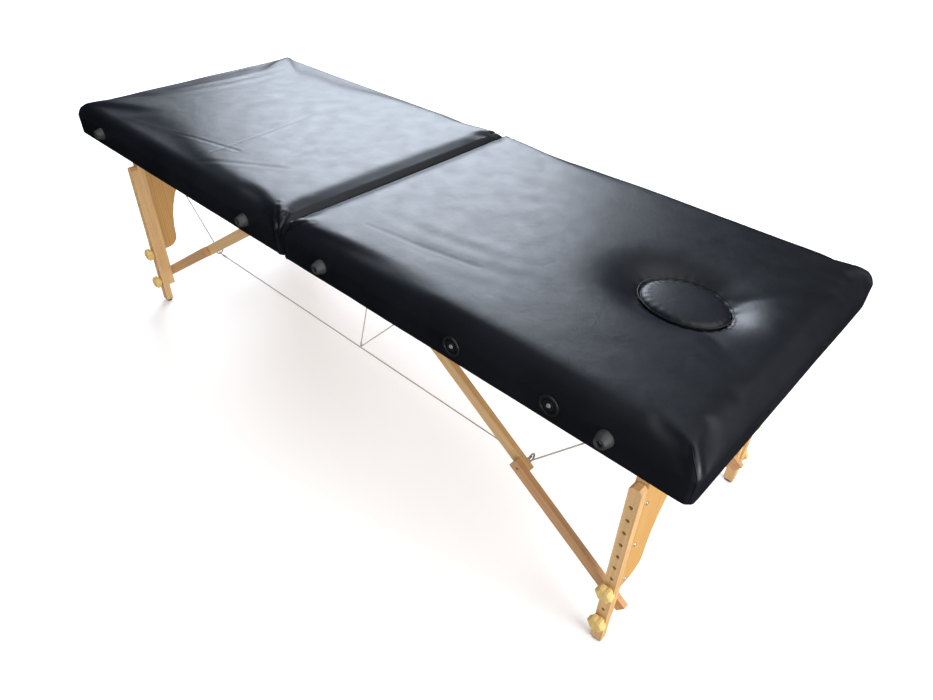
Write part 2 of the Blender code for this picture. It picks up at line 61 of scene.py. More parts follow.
# Places read from the frame
PAD_LOW, PAD_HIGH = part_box("right_cover")
HALF_WIDTH = PAD_HIGH.y
PAD_END_X = PAD_HIGH.x
PAD_TOP_Z = PAD_HIGH.z
HEM_Z = PAD_LOW.z
FOLD_X = PAD_LOW.x
PLUG_LOW, PLUG_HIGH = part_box("face_plug")
FACE_X = (PLUG_LOW.x + PLUG_HIGH.x) / 2
HOLE_A = (PLUG_HIGH.x - PLUG_LOW.x) / 2 + 0.0115
HOLE_B = PLUG_HIGH.y + 0.0100
BATTEN_LOW, BATTEN_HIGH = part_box("right_strut_batten")
STRUT_INNER_Y = abs(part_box("right_upper_strut_near")[1].y)
PANEL_FACE_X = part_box("right_leg_panel")[1].x
CABLE_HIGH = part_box("cable_near")[1]

# Pads
CELL = 0.0095
EDGE_R = 0.034
FOLD_EDGE_R = 0.017
ARC_CELLS = 5
CORNER_POWER = 5.5
EDGE_POWER = 2.15
SIDE_INSET = 0.0006
SWELL = 0.0065
SWELL_FRAMES = 20
PRESSURE = 4.0
FOLD_SKIRT_Z = HEM_Z + 0.0065
HEM_WRAP = 0.009
BLOCK_CELLS = (24, 21)
RIM_RINGS = 7
RIM_DROP = 0.0210
RIM_REACH = 0.040

# Elbow of the folding struts, from part.py
ELBOW_X = 0.5718
ELBOW_Z = 0.2658
STRUT_ANGLE = math.radians(33.7)
CORD_Y = 0.205
CORD_R = 0.0015
EYE_Z = 0.2465
V_KNOT_X = 0.045
DECK_EYE = (0.360, 0.5795)

# Small hardware
BUMPER_X = (0.131, 0.786)
SIDE_SOCKET_X = (0.477, 0.683)
BUMPER_Z = HEM_Z + 0.0335
SIDE_SOCKET_Z = HEM_Z + 0.0295
PANEL_SCREW_Y = 0.2605
PANEL_SCREW_Z = (0.397, 0.286, 0.184)
SCREW_R = 0.0042
SOLE_INSET = 0.0022
SOLE_CORNER_R = 0.003


# ---------------------------------------------------------------- meshes

def mesh_object(name, verts, faces, smooth=True):
    mesh = bpy.data.meshes.new(name)
    mesh.from_pydata([tuple(v) for v in verts], [], faces)
    mesh.update()
    for polygon in mesh.polygons:
        polygon.use_smooth = smooth
    piece = bpy.data.objects.new(name, mesh)
    bpy.context.scene.collection.objects.link(piece)
    return piece


def points_of(piece):
    co = np.empty(len(piece.data.vertices) * 3)
    piece.data.vertices.foreach_get("co", co)
    return co.reshape(-1, 3)


def normals_of(piece):
    n = np.empty(len(piece.data.vertices) * 3)
    piece.data.vertices.foreach_get("normal", n)
    return n.reshape(-1, 3)


def set_points(piece, co):
    piece.data.vertices.foreach_set("co", co.ravel())
    piece.data.update()


def apply_modifiers(piece):
    depsgraph = bpy.context.evaluated_depsgraph_get()
    mesh = bpy.data.meshes.new_from_object(piece.evaluated_get(depsgraph))
    piece.modifiers.clear()
    piece.data = mesh
    for polygon in mesh.polygons:
        polygon.use_smooth = True


def subdivide(piece, levels=1):
    modifier = piece.modifiers.new("subdivide", "SUBSURF")
    modifier.levels = levels
    apply_modifiers(piece)


def lathe(name, profile, centre, axis, segments=40):
    """A turned part: profile is (radius, height along the axis) from one pole to the other."""
    turn = Vector((0, 0, 1)).rotation_difference(Vector(axis)).to_matrix()
    verts = []
    faces = []
    for r, h in profile:
        for k in range(segments):
            a = 2 * math.pi * k / segments
            local = Vector((r * math.cos(a), r * math.sin(a), h))
            verts.append(Vector(centre) + turn @ local)
    for i in range(len(profile) - 1):
        for k in range(segments):
            j = (k + 1) % segments
            faces.append((i * segments + k, i * segments + j,
                          (i + 1) * segments + j, (i + 1) * segments + k))
    faces.append(tuple(reversed(range(segments))))
    faces.append(tuple((len(profile) - 1) * segments + k for k in range(segments)))
    piece = mesh_object(name, verts, faces)
    sharpen(piece)
    return piece


def sharpen(piece, degrees=35):
    """Shades smooth except across edges sharper than the angle."""
    limit = math.radians(degrees)
    bm = bmesh.new()
    bm.from_mesh(piece.data)
    for edge in bm.edges:
        edge.smooth = len(edge.link_faces) == 2 and edge.calc_face_angle(0) < limit
    bm.to_mesh(piece.data)
    bm.free()


def smooth_path(points, steps=6):
    """Catmull-Rom points through the given ones."""
    pts = [Vector(p) for p in points]
    pts = [2 * pts[0] - pts[1]] + pts + [2 * pts[-1] - pts[-2]]
    out = []
    for i in range(1, len(pts) - 2):
        a, b, c, d = pts[i - 1:i + 3]
        for k in range(steps):
            t = k / steps
            out.append(0.5 * (2 * b + (c - a) * t + (2 * a - 5 * b + 4 * c - d) * t * t
                              + (3 * b - a - 3 * c + d) * t ** 3))
    out.append(pts[-2])
    return out


def tube(name, path, radii, sides=12, closed=False):
    """A round rod along a path; radii is one number or one for each point."""
    count = len(path)
    if not hasattr(radii, "__len__"):
        radii = [radii] * count
    verts = []
    faces = []
    side = None
    for i, p in enumerate(path):
        before = path[i - 1] if i or closed else path[0]
        after = path[(i + 1) % count] if i < count - 1 or closed else path[-1]
        along = (Vector(after) - Vector(before)).normalized()
        if side is None:
            side = along.orthogonal().normalized()
        side = (side - along * side.dot(along)).normalized()
        other = along.cross(side)
        for k in range(sides):
            a = 2 * math.pi * k / sides
            verts.append(Vector(p) + radii[i] * (math.cos(a) * side + math.sin(a) * other))
    for i in range(count if closed else count - 1):
        j = (i + 1) % count
        for k in range(sides):
            m = (k + 1) % sides
            faces.append((i * sides + k, i * sides + m, j * sides + m, j * sides + k))
    if not closed:
        faces.append(tuple(reversed(range(sides))))
        faces.append(tuple((count - 1) * sides + k for k in range(sides)))
    return mesh_object(name, verts, faces)


def ring(name, centre, normal, radius, wire, count=36):
    """A closed wire ring."""
    turn = Vector((0, 0, 1)).rotation_difference(Vector(normal)).to_matrix()
    path = []
    for k in range(count):
        a = 2 * math.pi * k / count
        path.append(Vector(centre) + turn @ Vector((radius * math.cos(a), radius * math.sin(a), 0)))
    return tube(name, path, wire, closed=True)


def plate(name, outline, thickness):
    """A flat plate from a closed outline, thickened upwards."""
    offset = Vector((0, 0, thickness))
    n = len(outline)
    verts = [Vector(p) for p in outline] + [Vector(p) + offset for p in outline]
    faces = [tuple(reversed(range(n))), tuple(range(n, 2 * n))]
    for i in range(n):
        j = (i + 1) % n
        faces.append((i, j, n + j, n + i))
    return mesh_object(name, verts, faces, smooth=False)


# ---------------------------------------------------------------- materials

class Shader:
    """A Principled material with short calls for its nodes."""

    def __init__(self, name, colour, roughness, metallic=0.0, specular=0.5, coat=0.0):
        self.material = bpy.data.materials.new(name)
        self.material.use_nodes = True
        self.tree = self.material.node_tree
        self.out = self.tree.nodes["Principled BSDF"]
        self.out.inputs["Base Color"].default_value = (*colour, 1)
        self.out.inputs["Roughness"].default_value = roughness
        self.out.inputs["Metallic"].default_value = metallic
        self.out.inputs["Specular IOR Level"].default_value = specular
        self.out.inputs["Coat Weight"].default_value = coat
        self.last_normal = None

    def link(self, a, b):
        self.tree.links.new(a, b)

    def place(self, cell, along=None):
        """Object coordinates divided by cell sizes; along turns X to the grain's direction."""
        coords = self.tree.nodes.new("ShaderNodeTexCoord")
        mapping = self.tree.nodes.new("ShaderNodeMapping")
        mapping.vector_type = "TEXTURE"
        mapping.inputs["Scale"].default_value = cell
        if along is not None:
            turn = Vector((1, 0, 0)).rotation_difference(Vector(along))
            mapping.inputs["Rotation"].default_value = turn.to_euler()
        self.link(coords.outputs["Object"], mapping.inputs["Vector"])
        return mapping.outputs["Vector"]

    def noise(self, vector, detail=3.0, distortion=0.0):
        node = self.tree.nodes.new("ShaderNodeTexNoise")
        node.inputs["Scale"].default_value = 1.0
        node.inputs["Detail"].default_value = detail
        node.inputs["Distortion"].default_value = distortion
        self.link(vector, node.inputs["Vector"])
        return node.outputs["Fac"]

    def cells(self, vector, feature="F1"):
        node = self.tree.nodes.new("ShaderNodeTexVoronoi")
        node.feature = feature
        node.inputs["Scale"].default_value = 1.0
        self.link(vector, node.inputs["Vector"])
        return node.outputs["Distance"]

    def bands(self, vector, distortion=2.0):
        node = self.tree.nodes.new("ShaderNodeTexWave")
        node.bands_direction = "Y"
        node.inputs["Scale"].default_value = 1.0
        node.inputs["Distortion"].default_value = distortion
        node.inputs["Detail"].default_value = 2.0
        self.link(vector, node.inputs["Vector"])
        return node.outputs["Fac"]

    def ramp(self, value, stops):
        node = self.tree.nodes.new("ShaderNodeValToRGB")
        while len(node.color_ramp.elements) < len(stops):
            node.color_ramp.elements.new(0.5)
        for element, (at, colour) in zip(node.color_ramp.elements, stops):
            element.position = at
            element.color = (*colour, 1)
        self.link(value, node.inputs["Fac"])
        return node.outputs["Color"]

    def multiply(self, a, b, amount=1.0):
        node = self.tree.nodes.new("ShaderNodeMix")
        node.data_type = "RGBA"
        node.blend_type = "MULTIPLY"
        node.inputs["Factor"].default_value = amount
        self.link(a, node.inputs["A"])
        self.link(b, node.inputs["B"])
        return node.outputs["Result"]

    def colour(self, socket):
        self.link(socket, self.out.inputs["Base Color"])

    def rough(self, value, low, high):
        node = self.tree.nodes.new("ShaderNodeMapRange")
        node.inputs["To Min"].default_value = low
        node.inputs["To Max"].default_value = high
        self.link(value, node.inputs["Value"])
        self.link(node.outputs["Result"], self.out.inputs["Roughness"])

    def bump(self, height, distance, strength=1.0):
        node = self.tree.nodes.new("ShaderNodeBump")
        node.inputs["Distance"].default_value = distance
        node.inputs["Strength"].default_value = strength
        self.link(height, node.inputs["Height"])
        if self.last_normal is not None:
            self.link(self.last_normal, node.inputs["Normal"])
        self.last_normal = node.outputs["Normal"]
        self.link(self.last_normal, self.out.inputs["Normal"])


def grey(v):
    return (v, v, v)


def tinted(colour, k):
    return tuple(min(1.0, c * k) for c in colour)


def leather(name="leather_black"):
    """Black upholstery leather: navy cast, fine pebble grain, soft uneven sheen."""
    s = Shader(name, (0.010, 0.012, 0.017), 0.42, specular=0.42)
    cloud = s.noise(s.place((0.16, 0.16, 0.16)), 4)
    s.colour(s.ramp(cloud, [(0.25, (0.0035, 0.0045, 0.0075)), (0.75, (0.0075, 0.009, 0.0135))]))
    s.rough(s.noise(s.place((0.045, 0.045, 0.045)), 5), 0.36, 0.50)
    s.bump(s.noise(s.place((0.030, 0.030, 0.030)), 3, 0.6), 0.0012, 0.35)
    s.bump(s.cells(s.place(grey(0.0016)), "DISTANCE_TO_EDGE"), 0.00016, 0.5)
    s.bump(s.noise(s.place(grey(0.0006)), 4), 0.00006, 0.5)
    return s.material


def wood(name, colour, along, contrast=0.16, specular=0.40):
    """Straight-grained beech with satin lacquer; along is the grain's direction."""
    s = Shader(name, colour, 0.42, specular=specular, coat=0.12)
    s.out.inputs["Coat Roughness"].default_value = 0.28
    streaks = s.noise(s.place((0.22, 0.0055, 0.0055), along), 5, 0.5)
    broad = s.noise(s.place((0.50, 0.030, 0.030), along), 2)
    fleck = s.noise(s.place((0.0060, 0.0007, 0.0007), along), 2)
    base = s.ramp(streaks, [(0.28, tinted(colour, 1 - contrast)), (0.5, colour),
                            (0.72, tinted(colour, 1 + contrast * 0.8))])
    base = s.multiply(base, s.ramp(broad, [(0.3, (0.90, 0.85, 0.78)), (0.7, grey(1.0))]))
    base = s.multiply(base, s.ramp(fleck, [(0.30, (0.74, 0.62, 0.50)), (0.44, grey(1.0))]), 0.75)
    s.colour(base)
    s.rough(streaks, 0.34, 0.50)
    s.bump(fleck, 0.00010, 0.4)
    s.bump(streaks, 0.00020, 0.3)
    return s.material


def plywood(name, colour):
    """Rotary-cut face veneer: wide cathedral figure under a honey lacquer."""
    s = Shader(name, colour, 0.38, specular=0.45, coat=0.15)
    s.out.inputs["Coat Roughness"].default_value = 0.25
    figure = s.bands(s.place((0.40, 0.016, 0.20), (0, 0, 1)), 7.0)
    streaks = s.noise(s.place((0.25, 0.004, 0.004), (0, 0, 1)), 4)
    base = s.ramp(figure, [(0.15, tinted(colour, 0.84)), (0.8, tinted(colour, 1.06))])
    s.colour(s.multiply(base, s.ramp(streaks, [(0.3, (0.86, 0.80, 0.72)), (0.6, grey(1.0))])))
    s.rough(streaks, 0.32, 0.46)
    s.bump(streaks, 0.00012, 0.3)
    return s.material


def steel(name="zinc_steel", colour=(0.60, 0.60, 0.62)):
    s = Shader(name, colour, 0.30, metallic=0.7)
    mottle = s.noise(s.place(grey(0.006)), 4)
    s.colour(s.ramp(mottle, [(0.3, tinted(colour, 0.78)), (0.7, tinted(colour, 1.08))]))
    s.rough(s.noise(s.place(grey(0.002)), 3), 0.20, 0.42)
    s.bump(mottle, 0.00010, 0.4)
    return s.material


def moulded(name, colour, roughness, grain):
    """Rubber or plastic: dark, with a fine moulded texture."""
    s = Shader(name, colour, roughness, specular=0.35)
    cloud = s.noise(s.place(grey(0.010)), 4)
    s.colour(s.ramp(cloud, [(0.3, tinted(colour, 0.75)), (0.7, tinted(colour, 1.35))]))
    s.rough(cloud, roughness - 0.08, roughness + 0.10)
    s.bump(s.noise(s.place(grey(grain)), 3), grain * 0.2, 0.5)
    return s.material


def cord_material(name="cord_sleeve"):
    """Steel strand in a clear sleeve: cream grey with a fine twist."""
    colour = (0.55, 0.51, 0.45)
    s = Shader(name, colour, 0.34, specular=0.5, coat=0.3)
    strand = s.bands(s.place((0.004, 0.0006, 0.004), (1, 0.35, 0.4)), 0.4)
    s.colour(s.ramp(strand, [(0.2, tinted(colour, 0.66)), (0.8, tinted(colour, 1.10))]))
    s.rough(strand, 0.28, 0.42)
    s.bump(strand, 0.0002, 0.5)
    return s.material


def knob_material(name="knob_varnish"):
    colour = (0.66, 0.46, 0.17)
    s = Shader(name, colour, 0.30, specular=0.45, coat=0.35)
    s.out.inputs["Coat Roughness"].default_value = 0.15
    grain = s.noise(s.place((0.005, 0.003, 0.05)), 4, 0.8)
    s.colour(s.ramp(grain, [(0.3, tinted(colour, 0.80)), (0.7, tinted(colour, 1.10))]))
    s.rough(grain, 0.25, 0.38)
    s.bump(grain, 0.00015, 0.4)
    return s.material


def paint(piece, material):
    piece.data.materials.clear()
    piece.data.materials.append(material)
    return piece


# ---------------------------------------------------------------- pads

def axis_stations(low, high, radius_low, radius_high):
    """Stations across the top: (core position, slope) with arcs at both ends."""
    core_low = low + radius_low
    core_high = high - radius_high
    slopes = [math.tan(math.pi / 4 * k / ARC_CELLS) for k in range(ARC_CELLS + 1)]
    count = max(2, round((core_high - core_low) / CELL))
    out = [(core_low, -s) for s in reversed(slopes[1:])]
    out += [(core_low + (core_high - core_low) * i / count, 0.0) for i in range(count + 1)]
    out += [(core_high, s) for s in slopes[1:]]
    return out


def rounded(core, direction, radius):
    """A point on the padded edge: superellipse in plan and in section."""
    a, b, c = (abs(d) for d in direction)
    plan = (a ** CORNER_POWER + b ** CORNER_POWER) ** (1 / CORNER_POWER)
    size = (plan ** EDGE_POWER + c ** EDGE_POWER) ** (1 / EDGE_POWER)
    offset = Vector(direction) * (radius / size)
    if offset.x * core[0] < 0:
        offset.x *= FOLD_EDGE_R / EDGE_R
    return Vector(core) + offset


def pad_shell(name, low, high, hole=None):
    """The pad's skin before swelling: top, rounded edges and four sides, open underneath."""
    radius = EDGE_R
    fold_at_low = abs(low.x) < abs(high.x)
    radii = (FOLD_EDGE_R, radius) if fold_at_low else (radius, FOLD_EDGE_R)
    xs = axis_stations(low.x, high.x, *radii)
    ys = axis_stations(low.y, high.y, radius, radius)
    core_z = high.z - radius
    wall_steps = max(3, round((core_z - low.z) / CELL))
    walls = [(core_z, math.tan(math.pi / 4 * k / ARC_CELLS)) for k in range(ARC_CELLS, -1, -1)]
    walls += [(core_z + (low.z - core_z) * k / wall_steps, 0.0) for k in range(1, wall_steps + 1)]
    bm = bmesh.new()
    top = [[bm.verts.new(rounded((x, y, core_z), (a, b, 1), radius)) for y, b in ys] for x, a in xs]
    block = hole_block(xs, ys, hole) if hole else None
    for i in range(len(xs) - 1):
        for j in range(len(ys) - 1):
            if block and block[0] <= i < block[1] and block[2] <= j < block[3]:
                continue
            bm.faces.new((top[i][j], top[i + 1][j], top[i + 1][j + 1], top[i][j + 1]))
    if block:
        for i in range(block[0] + 1, block[1]):
            for j in range(block[2] + 1, block[3]):
                bm.verts.remove(top[i][j])
        add_rim(bm, top, block, hole, high.z)
    add_walls(bm, xs, ys, walls, radius)
    bmesh.ops.remove_doubles(bm, verts=bm.verts, dist=0.0002)
    bmesh.ops.recalc_face_normals(bm, faces=bm.faces)
    mesh = bpy.data.meshes.new(name)
    bm.to_mesh(mesh)
    bm.free()
    piece = bpy.data.objects.new(name, mesh)
    bpy.context.scene.collection.objects.link(piece)
    return piece


def add_walls(bm, xs, ys, walls, radius):
    """The four sides, from half-way round the top edge down to the hem."""
    ends_x = (xs[0][0], -1), (xs[-1][0], 1)
    ends_y = (ys[0][0], -1), (ys[-1][0], 1)
    for x, sign in ends_x:
        rows = [[bm.verts.new(rounded((x, y, z), (sign, b, c), radius)) for y, b in ys]
                for z, c in walls]
        add_faces(bm, rows)
    for y, sign in ends_y:
        rows = [[bm.verts.new(rounded((x, y, z), (a, sign, c), radius)) for x, a in xs]
                for z, c in walls]
        add_faces(bm, rows)


def add_faces(bm, rows):
    for upper, lower in zip(rows, rows[1:]):
        for k in range(len(upper) - 1):
            bm.faces.new((upper[k], upper[k + 1], lower[k + 1], lower[k]))


def hole_block(xs, ys, hole):
    """Index range of the square of cells that the face hole's rings replace."""
    mid_i = min(range(len(xs)), key=lambda i: abs(xs[i][0] - hole[0]))
    mid_j = min(range(len(ys)), key=lambda j: abs(ys[j][0]))
    half_i = BLOCK_CELLS[0] // 2
    half_j = BLOCK_CELLS[1] // 2
    return mid_i - half_i, mid_i + half_i, mid_j - half_j, mid_j + half_j


def add_rim(bm, top, block, hole, top_z):
    """Rings from the block's outline to the hole's rim, then down into the hole."""
    i0, i1, j0, j1 = block
    outline = [top[i][j0] for i in range(i0, i1)]
    outline += [top[i1][j] for j in range(j0, j1)]
    outline += [top[i][j1] for i in range(i1, i0, -1)]
    outline += [top[i0][j] for j in range(j1, j0, -1)]
    centre_x, a, b = hole
    ring_before = outline
    rims = []
    for v in outline:
        angle = math.atan2(v.co.y / b, (v.co.x - centre_x) / a)
        rims.append(Vector((centre_x + a * math.cos(angle), b * math.sin(angle), top_z)))
    steps = [1 - (1 - k / RIM_RINGS) ** 1.5 for k in range(1, RIM_RINGS + 1)]
    rows = [(t, 0.0, 0.0) for t in steps]
    rows += [(1.0, 0.0015, 0.0035), (1.0, 0.0020, 0.010), (1.0, 0.0022, 0.020)]
    for t, inward, drop in rows:
        ring_now = []
        for v, rim in zip(outline, rims):
            out_dir = Vector((rim.x - centre_x, rim.y, 0)).normalized()
            p = v.co.lerp(rim, t) - out_dir * inward
            p.z = top_z - drop
            ring_now.append(bm.verts.new(p))
        n = len(outline)
        for k in range(n):
            m = (k + 1) % n
            bm.faces.new((ring_before[k], ring_before[m], ring_now[m], ring_now[k]))
        ring_before = ring_now


def pin_group(piece, weights):
    group = piece.vertex_groups.new(name="pin")
    for i, w in enumerate(weights):
        group.add([i], float(w), "REPLACE")
    return group.name


def swell(piece, weights, cap):
    """Pressure swells the skin like foam under leather; each point moves at most cap."""
    start = points_of(piece)
    cloth = piece.modifiers.new("swell", "CLOTH")
    cloth.settings.quality = 5
    cloth.settings.mass = 0.3
    cloth.settings.tension_stiffness = 12
    cloth.settings.compression_stiffness = 12
    cloth.settings.shear_stiffness = 6
    cloth.settings.bending_stiffness = 8.0
    cloth.settings.use_pressure = True
    cloth.settings.uniform_pressure_force = PRESSURE
    cloth.settings.vertex_group_mass = pin_group(piece, weights)
    cloth.settings.effector_weights.gravity = 0
    cloth.collision_settings.use_collision = False
    scene = bpy.context.scene
    for f in range(1, SWELL_FRAMES + 1):
        scene.frame_set(f)
    depsgraph = bpy.context.evaluated_depsgraph_get()
    swollen = points_of(piece.evaluated_get(depsgraph))
    scene.frame_set(1)
    piece.modifiers.clear()
    piece.vertex_groups.clear()
    move = swollen - start
    size = np.linalg.norm(move, axis=1, keepdims=True) + 1e-9
    capped = start + move * (cap * np.tanh(size / cap) / size)
    set_points(piece, keep_walls_out(start, capped))


def keep_walls_out(start, moved):
    """The cover is stretched over the rails, so its walls can swell but not sink."""
    wall = start[:, 2] < PAD_TOP_Z - SWELL - EDGE_R + 0.004
    centre = (start[:, :2].min(0) + start[:, :2].max(0)) / 2
    out = start[:, :2] - centre
    for k in (0, 1):
        edge = wall & (np.abs(out[:, k]) > np.abs(out[:, k]).max() - 0.012)
        least = np.abs(out[:, k])
        reach = np.maximum(np.abs(moved[:, k] - centre[k]), least)
        moved[:, k] = np.where(edge, centre[k] + np.sign(out[:, k]) * reach, moved[:, k])
    return moved


def segment_distance(co, a, b):
    """Each point's distance from the segment, and how far along it lies from 0 to 1."""
    a = np.array(a)
    d = np.array(b) - a
    t = np.clip((co - a) @ d / (d @ d), 0, 1)
    return np.linalg.norm(co - (a + t[:, None] * d), axis=1), t


def press(co, normal, path, width, depth, lip=0.35):
    """Presses a crease along a path of points, with a soft lip beside it."""
    near = np.full(len(co), 9.0)
    for a, b in zip(path, path[1:]):
        near = np.minimum(near, segment_distance(co, a, b)[0])
    crease = np.exp(-(near / width) ** 2) - lip * np.exp(-((near - 2.2 * width) / width) ** 2)
    return co - normal * (depth * crease)[:, None]


def ripple(co, normal, a, b, reach, wave, height, seed=0.0):
    """Soft parallel folds either side of a line, fading with distance."""
    distance, t = segment_distance(co, a, b)
    fade = np.exp(-(distance / reach) ** 2) * np.sin(np.pi * np.clip(t, 0.02, 0.98))
    d = np.array(b) - np.array(a)
    across = np.array([-d[1], d[0], 0]) / np.linalg.norm(d)
    phase = (co - np.array(a)) @ across / wave + 0.6 * np.sin(3 * t + seed)
    return co + normal * (height * fade * np.sin(2 * np.pi * phase))[:, None]


def unevenness(co, normal, cell, height, seed):
    """Low lumps of foam under the skin."""
    offset = Vector((seed, seed * 0.7, 0))
    lumps = np.array([noise.noise(Vector(p) / cell + offset) for p in co])
    return co + normal * (height * lumps)[:, None]


def corner_dart(co, normal, x, y, sx, sy):
    """The gathered fold at a pad corner: a vertical seam, a diagonal fold and small puckers."""
    low = (x, y, HEM_Z)
    mid = (x - sx * 0.005, y - sy * 0.005, HEM_Z + 0.046)
    high = (x - sx * 0.030, y - sy * 0.017, PAD_TOP_Z - 0.003)
    co = press(co, normal, [low, mid], 0.0030, 0.0009, 0.5)
    co = press(co, normal, [mid, high], 0.0035, 0.0012, 0.5)
    for k, reach in enumerate((0.030, 0.042, 0.034)):
        turn = (k - 1) * 0.5
        tip = (mid[0] - sx * reach * math.cos(0.8 + turn), mid[1] - sy * reach * math.sin(0.8 + turn),
               HEM_Z + 0.070 - 0.008 * k)
        co = press(co, normal, [mid, tip], 0.0030, 0.0004, 0.5)
    return co


def fold_dart(co, normal, sx, sy):
    """The V-shaped seam where the cover turns down into the fold, near each long edge."""
    x = sx * (FOLD_X + 0.002)
    y = sy * HALF_WIDTH
    low = (x + sx * 0.004, y, HEM_Z + 0.004)
    mid = (x + sx * 0.010, y - sy * 0.004, HEM_Z + 0.060)
    high = (x + sx * 0.016, y - sy * 0.034, PAD_TOP_Z - 0.003)
    co = press(co, normal, [low, mid, high], 0.0032, 0.0030, 0.5)
    for k in range(3):
        tip = (x + sx * (0.030 + 0.013 * k), y - sy * (0.020 + 0.012 * k), PAD_TOP_Z - 0.004)
        co = press(co, normal, [mid, tip], 0.0035, 0.0014, 0.5)
    return co


def rim_shape(co, normal):
    """The cover dips towards the face hole and puckers a little at its rim."""
    dx = (co[:, 0] - FACE_X) / HOLE_A
    dy = co[:, 1] / HOLE_B
    r = np.sqrt(dx ** 2 + dy ** 2)
    out = np.maximum(r - 1, 0) * (HOLE_A + HOLE_B) / 2
    fall = np.exp(-(out / RIM_REACH) ** 1.35)
    angle = np.arctan2(dy, dx)
    pucker = 0.0005 * np.sin(26 * angle + 1.7 * np.sin(3 * angle)) * np.exp(-(out / 0.012) ** 2)
    high = co[:, 2] > PAD_TOP_Z - 0.045
    co = co.copy()
    co[:, 2] -= np.where(high, RIM_DROP * fall + pucker, 0.0)
    return co


def wrap_hem(piece, sign):
    """Turns the lower edge of the cover under the rails."""
    bm = bmesh.new()
    bm.from_mesh(piece.data)
    edges = [e for e in bm.edges if e.is_boundary and max(v.co.z for v in e.verts) < HEM_Z + 0.02]
    out = bmesh.ops.extrude_edge_only(bm, edges=edges)
    for v in (g for g in out["geom"] if isinstance(g, bmesh.types.BMVert)):
        at_fold = abs(v.co.x) < FOLD_X + 0.006 and abs(v.co.y) < HALF_WIDTH - 0.012
        inward = 0.0018 if at_fold else HEM_WRAP
        near_x = abs(abs(v.co.x) - PAD_END_X) < 0.012 or abs(v.co.x) < 0.012
        near_y = abs(abs(v.co.y) - HALF_WIDTH) < 0.012
        if near_y:
            v.co.y -= math.copysign(inward, v.co.y)
        if near_x:
            outer = abs(v.co.x) > 0.5
            v.co.x -= sign * inward if outer else -sign * min(inward, 0.0018)
        if not at_fold:
            v.co.z -= 0.0003
    bmesh.ops.recalc_face_normals(bm, faces=bm.faces)
    bm.to_mesh(piece.data)
    bm.free()


def open_sockets(piece):
    """Opens the cover behind each head socket's flange."""
    bm = bmesh.new()
    bm.from_mesh(piece.data)
    for place, _ in SIDES:
        low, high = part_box(f"head_socket_{place}")
        centre = (low + high) / 2
        gone = [f for f in bm.faces if f.calc_center_median().x > PAD_END_X - 0.006
                and (f.calc_center_median() - Vector((PAD_END_X, centre.y, centre.z))).length < 0.0095]
        bmesh.ops.delete(bm, geom=gone, context="FACES")
    bm.to_mesh(piece.data)
    bm.free()


def left_wrinkles(co, normal):
    top = PAD_TOP_Z
    co = press(co, normal, [(-0.371, -0.311, top), (-0.385, -0.12, top), (-0.412, 0.075, top)],
               0.0035, 0.0007)
    co = press(co, normal, [(-0.743, -0.301, top), (-0.54, -0.266, top), (-0.335, -0.221, top)],
               0.0035, 0.0009)
    co = press(co, normal, [(-0.365, -0.315, top), (-0.18, -0.20, top)], 0.006, 0.0006)
    co = ripple(co, normal, (-0.86, -0.22, top), (-0.80, 0.26, top), 0.10, 0.050, 0.0006)
    co = ripple(co, normal, (-0.70, -0.05, top), (-0.30, 0.16, top), 0.12, 0.085, 0.0004, 1.3)
    return ripple(co, normal, (-0.25, -0.26, top), (-0.06, 0.10, top), 0.08, 0.06, 0.0003, 2.1)


def right_wrinkles(co, normal):
    top = PAD_TOP_Z
    co = press(co, normal, [(0.144, -0.24, top), (0.27, -0.225, top), (0.405, -0.20, top)],
               0.004, 0.0004)
    co = ripple(co, normal, (0.08, -0.20, top), (0.52, -0.16, top), 0.07, 0.055, 0.0005, 0.4)
    co = ripple(co, normal, (0.10, 0.05, top), (0.55, 0.12, top), 0.13, 0.10, 0.0004, 1.9)
    return ripple(co, normal, (0.62, -0.24, top), (0.86, -0.20, top), 0.07, 0.07, 0.0002, 2.7)


def build_pad(side, sign):
    """One half's leather pad: skin, swelling, then darts, creases and the turned-under hem."""
    low = Vector((FOLD_X, -HALF_WIDTH, HEM_Z))
    high = Vector((PAD_END_X, HALF_WIDTH, PAD_TOP_Z - SWELL))
    low = low + Vector((SIDE_INSET * 0.3, SIDE_INSET, 0))
    high = high - Vector((SIDE_INSET, SIDE_INSET, 0))
    if sign < 0:
        low, high = Vector((-high.x, low.y, low.z)), Vector((-low.x, high.y, high.z))
    hole = (FACE_X, HOLE_A, HOLE_B) if sign > 0 else None
    piece = pad_shell(f"{side}_pad", low, high, hole)
    co = points_of(piece)
    weights = np.clip((HEM_Z + 0.052 - co[:, 2]) / 0.016, 0, 1)
    fold_wall = np.abs(co[:, 0]) < FOLD_X + 0.004
    weights = np.where(fold_wall, 1.0, weights)
    if hole:
        r = np.sqrt(((co[:, 0] - FACE_X) / HOLE_A) ** 2 + (co[:, 1] / HOLE_B) ** 2)
        weights = np.maximum(weights, (r < 1.02).astype(float))
    move = swell
    move(piece, weights, SWELL)
    drop_fold_skirt(piece)
    subdivide(piece)
    co = points_of(piece)
    normal = normals_of(piece)
    if np.mean(normal[co[:, 2] > PAD_TOP_Z - 0.02, 2]) < 0:
        normal = -normal
    co = unevenness(co, normal, 0.13, 0.0007, 3.0 + sign)
    co = unevenness(co, normal, 0.040, 0.00018, 8.0 + sign)
    co = left_wrinkles(co, normal) if sign < 0 else right_wrinkles(co, normal)
    for _, sy in SIDES:
        co = corner_dart(co, normal, sign * (PAD_END_X - 0.006), sy * (HALF_WIDTH - 0.006), sign, sy)
        co = fold_dart(co, normal, sign, sy)
    if hole:
        co = rim_shape(co, normal)
    keep_off_fold(co, sign)
    set_points(piece, co)
    wrap_hem(piece, sign)
    if sign > 0:
        open_sockets(piece)
    thicken_edges(piece)
    return piece


